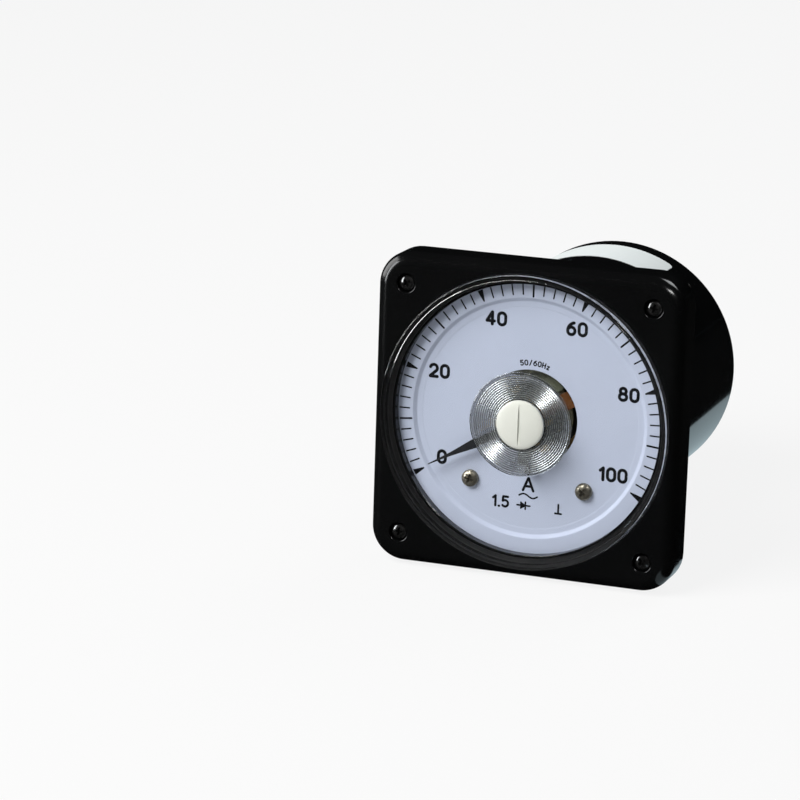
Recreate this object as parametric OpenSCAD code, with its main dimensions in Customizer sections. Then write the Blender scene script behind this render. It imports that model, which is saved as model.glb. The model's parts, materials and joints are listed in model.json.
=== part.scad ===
// Flush-mounting analogue panel meter with a 240 degree scale: a square moulded
// flange, a clear window with a zero adjuster, and a long-scale moving-coil
// movement in a round case. The dial faces -Y, the case runs back along +Y, and
// the origin lies on the dial's axis in the plane where the flange meets the panel.

/* [Flange] */
// Width and height of the square flange
flange_w = 110; // [106:0.5:120]
// Radius of the flange's four corners, seen from the front
flange_corner_r = 12; // [8:0.5:16]
// Rounding along the front edge of the bezel
bezel_edge_r = 4.5; // [2:0.25:4.5]
// Thickness of the case's own flange, which lies on the panel
case_flange_t = 4; // [3:0.25:5]
// Depth of the bezel moulding in front of the case flange
bezel_t = 10.5; // [9.5:0.25:13]
// Wall of the bezel moulding around its hollow corners
bezel_wall = 3; // [2:0.25:3.5]
// Distance of the corner screws, and of the mounting studs, from the flange's sides
stud_inset = 10.75; // [10:0.25:13]
// Depth of the recess that hides each corner screw's head
screw_recess = 2.4; // [2.2:0.1:3.5]

/* [Case] */
// Outside radius of the round case
case_r = 44.5; // [43:0.25:47]
// Wall thickness of the round case
case_wall = 3; // [2.5:0.25:4]
// Depth of the case behind the panel
case_depth = 97; // [92:0.5:120]
// Thickness of the case's rear wall
case_back_t = 4; // [3:0.25:6]
// Rounding between the case's side and its rear wall
case_back_r = 1.5; // [0.5:0.25:2.5]

/* [Rating label] */
// Length of the bare label along the case
label_l = 23.5; // [15:0.5:30]
// Half of the angle that the label takes round the top of the case
label_half = 29.8; // [20:0.2:40]
// Distance from the label to the rear end of the case
label_back = 10; // [5:0.5:20]

/* [Window] */
// Width of the bezel beside the window, at the middle of each side
window_rim = 3.5; // [3.25:0.25:6]
// How far the window stands in front of the bezel's face
window_proud = 3.2; // [2:0.1:4.5]
// Thickness of the window's front
window_t = 2.6; // [2:0.1:3]
// Thickness of the window's side wall
window_wall = 2.8; // [2.6:0.1:3.4]
// Rounding of the window's front edge
window_edge_r = 2.2; // [1:0.1:2.5]
// Radius of the ribbed disc in the middle of the window
ribbed_r = 18.1; // [15:0.1:20]
// Distance from one rib to the next
rib_pitch = 0.55; // [0.4:0.05:1]
// Depth of the grooves between the ribs
rib_depth = 0.3; // [0.1:0.05:0.4]
// Thickness of the sealing ring under the window
gasket_t = 0.6; // [0.4:0.1:1]

/* [Dial] */
// How far the bezel's lip reaches inside the window's wall, around the dial
dial_lip = 1; // [0.5:0.1:1.7]
// How far the dial plate reaches under that lip
dial_lap = 1.6; // [1.1:0.1:2]
// Thickness of the dial's sheet metal
dial_t = 0.8; // [0.5:0.1:1]
// How far the middle of the dial is pressed back from the scale band
dish_depth = 1.1; // [0.5:0.1:1.5]
// Width of the raised scale band
band_w = 6.9; // [6.3:0.1:8]
// Clock angle of the scale's zero mark
scale_zero = -120; // [-125:1:-115]
// Sweep of the scale from zero to full
scale_sweep = 240; // [230:1:250]
// Number of divisions on the scale
scale_divisions = 50; // [50, 100]
// Length of the main marks
mark_l = 4.1; // [3:0.1:4.5]
// Clock angle of the two dial screws from the bottom, either way
dial_screw_angle = 41.25; // [36:0.25:45]
// Distance of the two dial screws from the raised band
dial_screw_gap = 11; // [9:0.5:14]

/* [Pointer] */
// Distance of the pointer's tip from the raised scale band
pointer_gap = 2; // [1:0.2:6]
// Width of the pointer where it is widest
pointer_w = 4.4; // [2:0.1:5]
// Thickness of the pointer
pointer_t = 0.5; // [0.3:0.1:0.8]
// Clock angle of the pointer with no current
pointer_rest = -119; // [-121:0.5:-118]
// How far the pointer can swing past either end of the scale
overswing = 3; // [1:0.5:4]
// Radius of the pointer's staff
staff_r = 0.6; // [0.4:0.05:0.8]
// Radius of the staff's pivots
pivot_r = 0.25; // [0.15:0.05:0.3]

/* [Moving coil and magnet] */
// Inside radius of the ring core that the coil travels round
core_bore_r = 7; // [6.6:0.1:7.5]
// Outside radius of the ring core
core_r = 14.2; // [13.4:0.1:14.2]
// Length of the ring core along the axis
core_l = 11; // [9:0.5:11]
// Air between the core and the coil former
coil_air = 0.5; // [0.4:0.05:0.6]
// Wall of the aluminium coil former
former_t = 0.3; // [0.2:0.05:0.4]
// Depth of the copper winding
winding_t = 0.7; // [0.5:0.05:0.9]
// Width of the coil
coil_w = 6; // [5:0.1:6.2]
// Air between the coil and the pole ring
pole_air = 0.6; // [0.5:0.05:1]
// Wall of the pole ring
pole_wall = 4.2; // [3.5:0.1:5]
// Width of the magnet
magnet_w = 16; // [12:0.5:17]
// Height of the magnet between pole shoe and yoke
magnet_h = 8; // [6:0.5:9]

/* [Zero adjuster] */
// Radius of the slotted cap
cap_r = 8.55; // [6:0.05:9]
// Height of the cap in front of the window
cap_h = 2.1; // [1.5:0.1:3]
// Width of the slot in the cap
slot_w = 0.8; // [0.6:0.1:2]
// Depth of the slot in the cap
slot_depth = 0.6; // [0.4:0.1:1.2]
// Radius of the adjuster's shaft
adjuster_r = 2; // [1.5:0.1:2.5]
// Distance of the drive pin from the axis
drive_pin_at = 5; // [4.9:0.1:5.3]
// Radius of the drive pin
drive_pin_r = 0.55; // [0.4:0.05:0.7]

/* [Terminals and inner parts] */
// Distance between the two terminal studs
terminal_pitch = 40; // [34:1:46]
// Radius of the terminal studs
terminal_r = 2.5; // [2:0.25:3]
// How far the terminal studs stand out behind the case
terminal_l = 20; // [18:0.5:26]
// Length of the mounting studs behind the flange
stud_l = 25; // [18:0.5:35]
// Radius of the mounting studs
stud_r = 2; // [1.5:0.25:2.5]
// Width of the transformer's iron core
iron_w = 42; // [36:1:46]
// Height of the transformer's iron core
iron_h = 35; // [30:1:38]
// Thickness of the transformer's iron core
iron_t = 14; // [10:1:18]

/* [Hidden] */

$fn = 64;
fine = 128;
// Overlap that makes joined shapes one solid, and lets cutters pass a face
eps = 0.1;
// Gap between pieces that slip into each other
slip = 0.15;
// Radial gap of a shaft that turns in a hole
running = 0.05;
// Gap between pieces that must never touch
clear = 0.4;

// Planes along Y, from the front of the meter to the back
bezel_y = -(case_flange_t + bezel_t);
window_y = bezel_y - window_proud;
window_in_y = window_y + window_t;
ledge_y = bezel_y + 3.6;
window_foot_y = ledge_y - gasket_t;
dial_y = bezel_y + 6.9;
dish_y = dial_y + dish_depth;
dish_back_y = dish_y + dial_t;
ribbed_y = window_y + 0.4;

// Mounting screws and studs at the four corners
corner_at = flange_w / 2 - stud_inset;
m3_r = 1.5;
m3_head_r = 2.9;
m3_head_t = 2;
m2_r = 1;
m2_head_r = 1.9;
m2_head_t = 1.4;
recess_r = m3_head_r + 0.35;
screw_seat_y = bezel_y + screw_recess;
insert_r = 4;
boss_r = recess_r + 1.6;

// The window's seat in the bezel
window_r = flange_w / 2 - window_rim;
seat_r = window_r + slip;
window_in_r = window_r - window_wall;
ledge_clear = 0.35;

// The dial's bands, from the bezel's opening inwards
dial_view_r = window_in_r - dial_lip;
dial_r = dial_view_r + dial_lap;
band_r = dial_r - band_w;
mark_outer_r = dial_view_r - 0.3;
mark_inner_r = mark_outer_r - mark_l;
pointer_r = band_r - pointer_gap;
dial_screw_x = (band_r - dial_screw_gap) * sin(dial_screw_angle);
dial_screw_z = (band_r - dial_screw_gap) * cos(dial_screw_angle);

// The coil, as a frame around the ring core
core_front_y = -1;
core_back_y = core_front_y + core_l;
coil_in_lo = core_bore_r - 1.8;
coil_in_hi = core_r + coil_air;
winding_lo = coil_in_lo - former_t - winding_t;
winding_hi = coil_in_hi + former_t + winding_t;
coil_axial_air = 0.7;
former_front_y = core_front_y - coil_axial_air;
former_back_y = core_back_y + coil_axial_air;
coil_front_y = former_front_y - former_t - winding_t;
coil_back_y = former_back_y + former_t + winding_t;
coil_sweep_r = sqrt(pow(winding_hi, 2) + pow(coil_w / 2, 2));
coil_rest = pointer_rest + 180;
hub_t = 0.6;
hub_arm_w = 3;
hub_r = 1.3;
coil_hub_front_y = coil_front_y - hub_t;
coil_hub_back_y = coil_back_y + hub_t;

// The stops are the edges of the clamp plate, at either end of the coil's travel
first_stop = 180 + scale_zero - overswing;
last_stop = 180 + scale_zero + scale_sweep + overswing;

// The pole ring and its magnet
pole_r = coil_sweep_r + pole_air;
yoke_r = pole_r + pole_wall;
yoke_back_y = core_back_y + 2;
magnet_z = core_r + 1;
magnet_top_z = magnet_z + magnet_h;
yoke_pocket_w = magnet_w + 2.4;
yoke_leg = 3.8;
yoke_w = yoke_pocket_w + 2 * yoke_leg;
yoke_top_z = magnet_top_z + pole_wall;
shoe_half = 45;
clamp_t = 1.2;
clamp_front_y = core_front_y - clamp_t;
clamp_screw_x = (yoke_pocket_w + yoke_leg) / 2;
clamp_screw_z = magnet_top_z - 2;
clamp_arc_r = core_r + 1.1;
clamp_ear_z = core_r - 1.8;
lug_w = 14;
lug_low_z = -(yoke_r + 6);
foot_screw_x = 3.7;
foot_screw_z = -(yoke_r + 2);

// The chassis plate and what stands on it
chassis_y = yoke_back_y;
chassis_t = 2;
chassis_back_y = chassis_y + chassis_t;
chassis_r = case_r - case_wall - 0.8;
chassis_hole_r = pole_r + 1.1;
rib_angles = [60, 180, 300];
rib_w = 9;
rib_reach = 9;
rib_screw_at = case_r - case_wall - 4.8;
dial_post_r = 3;

// The bridges, the jewel screws and the staff between them
bridge_t = 1;
bridge_w = 4;
bridge_y = window_in_y + 2.3;
bridge_leg_t = 0.6;
bridge_leg_z = coil_sweep_r + 0.3;
dial_hole_r = bridge_leg_z + bridge_leg_t + clear;
bridge_end_r = 3;
jewel_r = 1.2;
jewel_head_r = 3;
jewel_head_t = 0.4;
jewel_neck_r = 2.2;
jewel_cup = 0.6;
lever_t = 0.6;
lever_y = bridge_y - running - lever_t;
jewel_head_y = lever_y - running;
staff_front_y = bridge_y + bridge_t + 0.5;
rear_bridge_y = chassis_back_y + 2;
rear_bridge_t = 1.5;
staff_back_y = coil_hub_back_y + 1.1;
pivot_l = 0.5;
rear_post_x = chassis_hole_r + 3.6;
rear_post_r = 2.6;

// The pointer
pointer_y = staff_front_y + 1.3;
pointer_hub_r = 1.8;
pointer_hub_l = 1.5;
arm_w = 1.2;
arm_r = 10.4;
weight_r = 1.3;
weight_l = 1.8;
fan_in_r = 9;
fan_out_r = 15.2;
fan_half = 16.4;
fan_t = 4;

// The hairsprings
spring_turns = 4;
spring_in_r = hub_r + 0.3;
spring_out_r = 5.9;
spring_t = 0.2;
spring_h = 0.45;
front_spring_y = staff_front_y + 0.35;
rear_spring_y = coil_hub_back_y + 0.3;
tag_t = 0.6;
tag_w = 1.4;
tag_in_r = spring_out_r + spring_t / 2;

// The zero adjuster
crank_t = 0.6;
crank_y = window_in_y + 0.1;
crank_r = drive_pin_at + drive_pin_r + 0.5;
adjuster_end_y = crank_y + crank_t;
fork_gap = drive_pin_r + 0.04;
lever_bore_r = jewel_neck_r + running;
lever_ring_r = lever_bore_r + 1.6;

// The terminals
case_end_y = case_depth;
case_in_y = case_depth - case_back_t;
case_in_r = case_r - case_wall;
terminal_boss_t = 3;
terminal_boss_r = 8;
terminal_face_y = case_end_y + terminal_boss_t;
washer_t = 1;
washer_r = 5;
nut_t = 4;
nut_af = 8;
nuts_end_y = terminal_face_y + 2 * (washer_t + nut_t);
// The free end has the mean radius of its thread
terminal_tip_r = terminal_r - 0.25;
strap_t = 0.8;
strap_w = 8;

// The transformer on its pads inside the rear wall
pad_l = 8;
iron_back_y = case_in_y - pad_l;
iron_front_y = iron_back_y - iron_t;
limb = iron_w / 6;
iron_screw_x = iron_w / 2 - limb / 2;
iron_screw_z = iron_h / 2 - limb / 2;
bobbin_gap = 0.3;
winding_wall = 4;

// The rectifier board behind the chassis plate
board_w = 44;
board_h = 26;
board_t = 1.6;
board_gap = 1.5;
board_z = -(case_in_r - rib_reach - board_gap - board_h / 2);
board_y = chassis_back_y + 8;
board_screw_x = board_w / 2 - 4;
diode_r = 1.4;
diode_l = 5.2;

// ------------------------------------------------------------------ helpers

// A solid of revolution about the dial's axis; each point is [radius, y]
module lathe(points)
    rotate([90, 0, 0])
        rotate_extrude($fn = fine)
            polygon([for (p = points) [p[0], -p[1]]]);

// A flat plate drawn as the front shows it, from its front face back by t
module plate(y_front, t)
    translate([0, y_front + t, 0])
        rotate([90, 0, 0])
            linear_extrude(t)
                children();

// A round bar along Y
module rod(r, y0, y1)
    translate([0, y1, 0])
        rotate([90, 0, 0])
            cylinder(r = r, h = y1 - y0);

// A hexagonal bar along Y, by its width across flats
module hex_rod(af, y0, y1)
    translate([0, y1, 0])
        rotate([90, 0, 0])
            cylinder(r = af / 2 / cos(30), h = y1 - y0, $fn = 6);

module at(x, z)
    translate([x, 0, z])
        children();

// Turns what is drawn pointing up to a clock angle, clockwise from the top
module clock(angle)
    rotate([0, angle, 0])
        children();

module four_corners(d = corner_at)
    for (x = [-d, d], z = [-d, d])
        at(x, z)
            children();

// A closed box between two corners
module block(lo, hi)
    translate(lo)
        cube(hi - lo);

// Points of an arc in the drawing plane
function arc(cx, cy, r, a0, a1, n = 8) =
    [for (i = [0:n]) let (a = a0 + (a1 - a0) * i / n) [cx + r * cos(a), cy + r * sin(a)]];

// Outline of a square with round corners
function round_square(w, r, n = 10) = let (d = w / 2 - r) concat(
    arc(d, d, r, 0, 90, n), arc(-d, d, r, 90, 180, n),
    arc(-d, -d, r, 180, 270, n), arc(d, -d, r, 270, 360, n));

// A pan-head screw with a cross recess, its head's seat at y and its point behind
module pan_screw(r, head_r, head_t, y_seat, y_end) {
    rod(r, y_seat - eps, y_end);
    difference() {
        lathe(concat([[0, y_seat], [head_r, y_seat], [head_r, y_seat - head_t * 0.35]],
                     [for (i = [1:6]) let (a = i * 15)
                         [head_r * cos(a), y_seat - head_t * (0.35 + 0.65 * sin(a))]]));
        for (turn = [0, 90])
            rotate([0, turn, 0])
                block([-head_r * 0.55, y_seat - head_t - eps, -head_r * 0.13],
                      [head_r * 0.55, y_seat - head_t * 0.45, head_r * 0.13]);
    }
}

// A flat spiral strip from an inner to an outer radius, ending at clock angle 90
module spiral(r_in, r_out, turns, strip) {
    n = turns * 24;
    function at_step(i, off) = let (
        a = 360 * turns * (1 - i / n),
        r = r_in + (r_out - r_in) * i / n + off) [r * cos(a), r * sin(a)];
    polygon(concat([for (i = [0:n]) at_step(i, strip / 2)],
                   [for (i = [n:-1:0]) at_step(i, -strip / 2)]));
}

// ---------------------------------------------------------- flange and case

// One rounded corner of the bezel, as a turned puck
module bezel_corner() {
    r = flange_corner_r;
    e = bezel_edge_r;
    rotate([90, 0, 0])
        rotate_extrude($fn = 40)
            polygon(concat([[0, case_flange_t], [r, case_flange_t]],
                           arc(r - e, case_flange_t + bezel_t - e, e, 0, 90, 8),
                           [[0, case_flange_t + bezel_t]]));
}

// Hollow behind one corner of the bezel, left by its wall, its seat and its screw boss
module corner_hollow_outline()
    difference() {
        polygon(round_square(flange_w - 2 * bezel_wall, flange_corner_r - bezel_wall));
        circle(r = seat_r + bezel_wall * 0.6);
        for (x = [-corner_at, corner_at], z = [-corner_at, corner_at])
            translate([x, z])
                circle(r = boss_r);
    }

module bezel_frame()
    color([0.03, 0.03, 0.035])
        difference() {
            hull()
                four_corners(flange_w / 2 - flange_corner_r)
                    bezel_corner();
            rod(seat_r, bezel_y - eps, ledge_y);
            rod(dial_view_r, ledge_y - eps, dial_y + eps);
            rod(dial_r + 0.5, dial_y, -case_flange_t + eps);
            plate(bezel_y + bezel_wall + 1, bezel_t - bezel_wall - 1 + eps)
                corner_hollow_outline();
            four_corners() {
                rod(recess_r, bezel_y - eps, screw_seat_y);
                rod(m3_r + 0.2, bezel_y, -case_flange_t + eps);
            }
        }

module case_body()
    color([0.035, 0.035, 0.04])
        difference() {
            union() {
                plate(-case_flange_t, case_flange_t)
                    polygon(round_square(flange_w, flange_corner_r));
                lathe(concat([[0, -eps], [case_r, -eps]],
                             [for (i = [0:6]) let (a = i * 15)
                                 [case_r - case_back_r * (1 - cos(a)),
                                  case_end_y - case_back_r * (1 - sin(a))]],
                             [[0, case_end_y]]));
                for (x = [-terminal_pitch / 2, terminal_pitch / 2])
                    at(x, 0)
                        rod(terminal_boss_r, case_end_y - eps, terminal_face_y);
            }
            difference() {
                rod(case_in_r, -case_flange_t - eps, case_in_y);
                chassis_ribs();
                transformer_pads();
            }
            for (a = rib_angles)
                clock(a)
                    at(0, rib_screw_at)
                        rod(m3_r, chassis_back_y - eps, chassis_back_y + 9);
            for (x = [-iron_screw_x, iron_screw_x], z = [-iron_screw_z, iron_screw_z])
                at(x, z)
                    rod(m3_r, iron_back_y - eps, case_in_y - 0.5);
            for (x = [-terminal_pitch / 2, terminal_pitch / 2])
                at(x, 0)
                    rod(terminal_r, case_in_y - eps, terminal_face_y + eps);
            four_corners()
                rod(insert_r, -case_flange_t - eps, eps);
        }

// Ribs inside the case that carry the chassis plate on their front ends
module chassis_ribs()
    for (a = rib_angles)
        clock(a)
            block([-rib_w / 2, chassis_back_y, case_in_r - rib_reach],
                  [rib_w / 2, case_in_y + eps, case_in_r + eps]);

// Pads on the rear wall that carry the transformer
module transformer_pads()
    for (x = [-iron_screw_x, iron_screw_x], z = [-iron_screw_z, iron_screw_z])
        at(x, z)
            rod(limb / 2, iron_back_y, case_in_y + eps);

// Bare label stuck on the top of the round case
module case_label() {
    x = case_r * sin(label_half);
    y1 = case_end_y - label_back;
    y0 = y1 - label_l;
    r = 2;
    color([0.93, 0.94, 0.94])
        intersection() {
            difference() {
                rod(case_r + 0.12, y0, y1);
                rod(case_r, y0 - 1, y1 + 1);
            }
            linear_extrude(case_r + 1)
                polygon(concat(
                    arc(x - r, y1 - r, r, 0, 90, 6), arc(-x + r, y1 - r, r, 90, 180, 6),
                    arc(-x + r, y0 + r, r, 180, 270, 6), arc(x - r, y0 + r, r, 270, 360, 6)));
        }
}

module cover_screws()
    color([0.05, 0.05, 0.05])
        four_corners()
            pan_screw(m3_r, m3_head_r, m3_head_t, screw_seat_y, -0.8);

module mounting_studs()
    color([0.78, 0.76, 0.66])
        four_corners()
            difference() {
                union() {
                    rod(insert_r, -case_flange_t, 0);
                    rod(stud_r, -eps, stud_l - 0.6);
                    lathe([[0, stud_l - 0.7], [stud_r, stud_l - 0.7],
                           [stud_r - 0.5, stud_l], [0, stud_l]]);
                }
                rod(m3_r, -case_flange_t - eps, -0.8);
            }

// ------------------------------------------------------------------- window

// Zigzag of the ribbed disc, from the cap's seat outwards
function rib_points() = let (
    r0 = cap_r + 0.6,
    n = floor((ribbed_r - 0.3 - r0) / rib_pitch)) [
    for (i = [0:n - 1]) each [
        [r0 + i * rib_pitch, ribbed_y],
        [r0 + (i + 0.5) * rib_pitch, ribbed_y + rib_depth]],
    [r0 + n * rib_pitch, ribbed_y]];

module window() {
    e = window_edge_r;
    color([0.85, 0.92, 0.95, 0.3])
        lathe(concat(
            [[adjuster_r + running, window_in_y], [adjuster_r + running, ribbed_y]],
            rib_points(),
            [[ribbed_r, ribbed_y], [ribbed_r + 0.15, window_y]],
            [for (i = [0:6]) let (a = 90 - i * 15)
                [window_r - e + e * cos(a), window_y + e - e * sin(a)]],
            [[window_r, window_foot_y], [window_in_r, window_foot_y]],
            [for (i = [0:4]) let (a = i * 22.5)
                [window_in_r - 1 + cos(a), window_in_y + 1 - sin(a)]]));
}

module window_gasket()
    color([0.06, 0.06, 0.06])
        lathe([[window_in_r - 0.1, ledge_y], [window_in_r - 0.1, window_foot_y],
               [window_r - 0.1, window_foot_y], [window_r - 0.1, ledge_y]]);

// --------------------------------------------------------------------- dial

// The dial's pressed section: a raised scale band, a slope with a crease at its foot, a flat middle
function dish_section(off) = [
    [dial_hole_r, dish_y + off],
    [band_r - 3.4, dish_y + off],
    [band_r - 3, dish_y - dish_depth * 0.12 + off],
    [band_r - 2.1, dish_y - dish_depth * 0.16 + off],
    [band_r, dial_y + off],
    [dial_r, dial_y + off]];

module dial_plate() {
    front = dish_section(0);
    back = dish_section(dial_t);
    color([0.82, 0.86, 0.95])
        difference() {
            lathe(concat(front, [for (i = [len(back) - 1:-1:0]) back[i]]));
            for (x = [-dial_screw_x, dial_screw_x])
                at(x, -dial_screw_z)
                    rod(m3_r + 0.1, dish_y - 1, dish_y + 2);
        }
}

// Graduations, as a thin film of ink on the scale band
module dial_scale() {
    film = 0.06;
    step = scale_sweep / scale_divisions;
    per_main = scale_divisions / 5;
    color([0.03, 0.03, 0.03])
        plate(dial_y - film, film)
            for (i = [0:scale_divisions]) {
                is_main = i % per_main == 0;
                is_mid = !is_main && i % (per_main / 2) == 0;
                half = is_mid ? 0.24 : 0.17;
                outer = is_mid ? mark_outer_r : mark_outer_r - 0.4;
                inner = is_mid ? mark_inner_r - 0.6 : mark_inner_r + 0.2;
                rotate(-scale_zero - i * step)
                    if (is_main)
                        polygon([[-1, mark_outer_r], [1, mark_outer_r],
                                 [0.12, mark_inner_r - 0.2], [-0.12, mark_inner_r - 0.2]]);
                    else
                        translate([-half, inner])
                            square([2 * half, outer - inner]);
            }
}

module dial_posts()
    color([0.80, 0.68, 0.38])
        for (x = [-dial_screw_x, dial_screw_x])
            at(x, -dial_screw_z)
                difference() {
                    rod(dial_post_r, dish_back_y, chassis_y);
                    rod(m3_r, dish_back_y - eps, dish_back_y + 6);
                }

module dial_screws()
    color([0.30, 0.24, 0.17])
        for (x = [-dial_screw_x, dial_screw_x])
            at(x, -dial_screw_z)
                pan_screw(m3_r, m3_head_r + 0.15, m3_head_t + 0.2, dish_y, dish_y + 5.5);

// ----------------------------------------------------- pointer and its coil

// Lance outline, drawn pointing up
function lance() = let (
    w = pointer_w / 2, l = pointer_r,
    side = [[0.07 * w, l], [0.155 * w, 0.9 * l], [0.28 * w, 0.775 * l], [0.455 * w, 0.675 * l],
            [0.75 * w, 0.525 * l], [w, 0.3 * l], [0.9 * w, 0.125 * l], [arm_w / 2, -arm_w]])
    concat(side, [for (i = [len(side) - 1:-1:0]) [-side[i][0], side[i][1]]]);

module pointer()
    color([0.05, 0.05, 0.05])
        clock(pointer_rest)
            difference() {
                union() {
                    plate(pointer_y, pointer_t)
                        polygon(lance());
                    plate(pointer_y, pointer_t)
                        translate([-arm_r, -arm_w / 2])
                            square([2 * arm_r, arm_w]);
                    rod(pointer_hub_r, pointer_y - 0.4, pointer_y + pointer_hub_l - 0.4);
                }
                rod(staff_r, pointer_y - 2, pointer_y + 3);
            }

// Collars on the side arms, and a fan behind the blade that balances the coil
module balance_weights()
    color([0.75, 0.62, 0.35])
        clock(pointer_rest) {
            for (a = [90, 270])
                clock(a)
                    translate([0, pointer_y + pointer_t / 2, arm_r - 0.6 - weight_l])
                        difference() {
                            cylinder(r = weight_r, h = weight_l);
                            translate([-arm_w / 2, -pointer_t / 2, -eps])
                                cube([arm_w, pointer_t, weight_l + 2 * eps]);
                        }
            plate(pointer_y + pointer_t, fan_t)
                ring_sector(fan_in_r, fan_out_r, -fan_half, fan_half, 12);
        }

module pointer_staff()
    color([0.70, 0.70, 0.72])
        lathe([[0, staff_front_y - pivot_l], [pivot_r, staff_front_y - pivot_l],
               [pivot_r, staff_front_y], [staff_r, staff_front_y + 0.1],
               [staff_r, front_spring_y], [hub_r, front_spring_y],
               [hub_r, pointer_y - 0.4], [staff_r, pointer_y - 0.4],
               [staff_r, coil_hub_back_y], [hub_r, coil_hub_back_y],
               [hub_r, staff_back_y - 0.4], [staff_r, staff_back_y - 0.3],
               [pivot_r, staff_back_y], [pivot_r, staff_back_y + pivot_l],
               [0, staff_back_y + pivot_l]]);

// A frame around the ring core's section, standing on one side of the staff
module coil_loop(lo, hi, y0, y1, wall)
    difference() {
        block([-coil_w / 2, y0 - wall, lo - wall], [coil_w / 2, y1 + wall, hi + wall]);
        block([-coil_w, y0, lo], [coil_w, y1, hi]);
    }

module coil_former()
    color([0.80, 0.80, 0.82])
        clock(coil_rest)
            coil_loop(coil_in_lo, coil_in_hi, former_front_y, former_back_y, former_t);

module moving_coil()
    color([0.62, 0.26, 0.10])
        clock(coil_rest)
            union() {
                coil_loop(coil_in_lo - former_t, coil_in_hi + former_t,
                          former_front_y - former_t, former_back_y + former_t, winding_t);
                coil_hub(coil_hub_front_y, coil_front_y);
                coil_hub(coil_back_y, coil_hub_back_y);
            }

// Flat arm that ties the coil to its staff
module coil_hub(y0, y1)
    difference() {
        union() {
            block([-hub_arm_w / 2, y0, 0], [hub_arm_w / 2, y1, coil_in_lo]);
            rod(hub_arm_w / 2 + 0.3, y0, y1);
        }
        rod(staff_r, y0 - 1, y1 + 1);
    }

module hairspring(y0)
    plate(y0, spring_h)
        spiral(spring_in_r, spring_out_r, spring_turns, spring_t);

module front_hairspring()
    color([0.78, 0.60, 0.30])
        hairspring(front_spring_y);

module rear_hairspring()
    color([0.78, 0.60, 0.30])
        hairspring(rear_spring_y);

module rear_spring_anchor()
    color([0.75, 0.65, 0.40])
        block([tag_in_r, rear_spring_y, -tag_w / 2],
              [tag_in_r + tag_t, rear_bridge_y, tag_w / 2]);

// ------------------------------------------------------ bridges and bearings

// One bent strip: a foot on the yoke, a leg through the dial and an arm to the axis
module front_bridge()
    color([0.62, 0.63, 0.60])
        difference() {
            union() {
                block([-lug_w / 2, clamp_front_y, lug_low_z],
                      [lug_w / 2, core_front_y, -bridge_leg_z]);
                block([-bridge_w / 2, bridge_y, -bridge_leg_z - bridge_leg_t],
                      [bridge_w / 2, core_front_y, -bridge_leg_z]);
                plate(bridge_y, bridge_t)
                    union() {
                        translate([-bridge_w / 2, -bridge_leg_z - bridge_leg_t])
                            square([bridge_w, bridge_leg_z + bridge_leg_t]);
                        circle(r = bridge_end_r);
                    }
            }
            rod(jewel_r, bridge_y - 1, bridge_y + bridge_t + 1);
            for (x = [-foot_screw_x, foot_screw_x])
                at(x, foot_screw_z)
                    rod(m2_r + 0.1, clamp_front_y - 1, core_front_y + 1);
        }

module rear_bridge()
    color([0.62, 0.63, 0.60])
        difference() {
            plate(rear_bridge_y, rear_bridge_t)
                union() {
                    translate([-rear_post_x, -4])
                        square([2 * rear_post_x, 8]);
                    for (x = [-rear_post_x, rear_post_x])
                        translate([x, 0])
                            circle(r = 4);
                }
            rod(jewel_r, rear_bridge_y - 1, rear_bridge_y + rear_bridge_t + 1);
            for (x = [-rear_post_x, rear_post_x])
                at(x, 0)
                    rod(m2_r + 0.1, rear_bridge_y - 1, rear_bridge_y + 3);
        }

module bridge_posts()
    color([0.80, 0.68, 0.38])
        for (x = [-rear_post_x, rear_post_x])
            at(x, 0)
                difference() {
                    rod(rear_post_r, chassis_back_y, rear_bridge_y);
                    rod(m2_r, chassis_back_y - eps, rear_bridge_y + eps);
                }

module bridge_screws()
    color([0.72, 0.72, 0.70])
        union() {
            for (x = [-foot_screw_x, foot_screw_x])
                at(x, foot_screw_z)
                    pan_screw(m2_r, m2_head_r, m2_head_t, clamp_front_y, clamp_front_y + 5);
            for (x = [-rear_post_x, rear_post_x])
                at(x, 0)
                    mirror([0, 1, 0])
                        pan_screw(m2_r, m2_head_r, m2_head_t,
                                  -rear_bridge_y - rear_bridge_t, -chassis_back_y);
        }

// A slotted screw with a neck under its head; its inner end holds the cupped jewel
module jewel_screw(head_y, seat_y, cup_y)
    difference() {
        union() {
            rod(jewel_head_r, head_y - jewel_head_t, head_y);
            rod(jewel_neck_r, head_y - eps, seat_y);
            rod(jewel_r, seat_y - eps, cup_y);
        }
        rod(pivot_r + running, cup_y - jewel_cup, cup_y + eps);
        block([-jewel_head_r - 1, head_y - jewel_head_t - eps, -0.25],
              [jewel_head_r + 1, head_y - jewel_head_t + 0.25, 0.25]);
    }

module front_jewel_screw()
    color([0.82, 0.70, 0.40])
        jewel_screw(jewel_head_y, bridge_y, staff_front_y - 0.05);

module rear_jewel_screw()
    color([0.82, 0.70, 0.40])
        mirror([0, 1, 0])
            jewel_screw(-rear_bridge_y - rear_bridge_t - 0.4,
                        -rear_bridge_y - rear_bridge_t, -staff_back_y - 0.05);

// ------------------------------------------------------------ magnet circuit

// Part of a ring between two clock angles, drawn as the front shows it
module ring_sector(r_in, r_out, a0, a1, n = 40)
    polygon(concat(
        [for (i = [0:n]) let (a = a0 + (a1 - a0) * i / n) [r_out * sin(a), r_out * cos(a)]],
        [for (i = [n:-1:0]) let (a = a0 + (a1 - a0) * i / n) [r_in * sin(a), r_in * cos(a)]]));

module ring_core()
    color([0.45, 0.45, 0.43])
        difference() {
            rod(core_r, core_front_y, core_back_y);
            rod(core_bore_r, core_front_y - 1, core_back_y + 1);
            plate(core_front_y - 1, core_l + 2)
                polygon([[0, 0], [-2 * core_r, 2 * core_r], [2 * core_r, 2 * core_r]]);
        }

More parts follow.
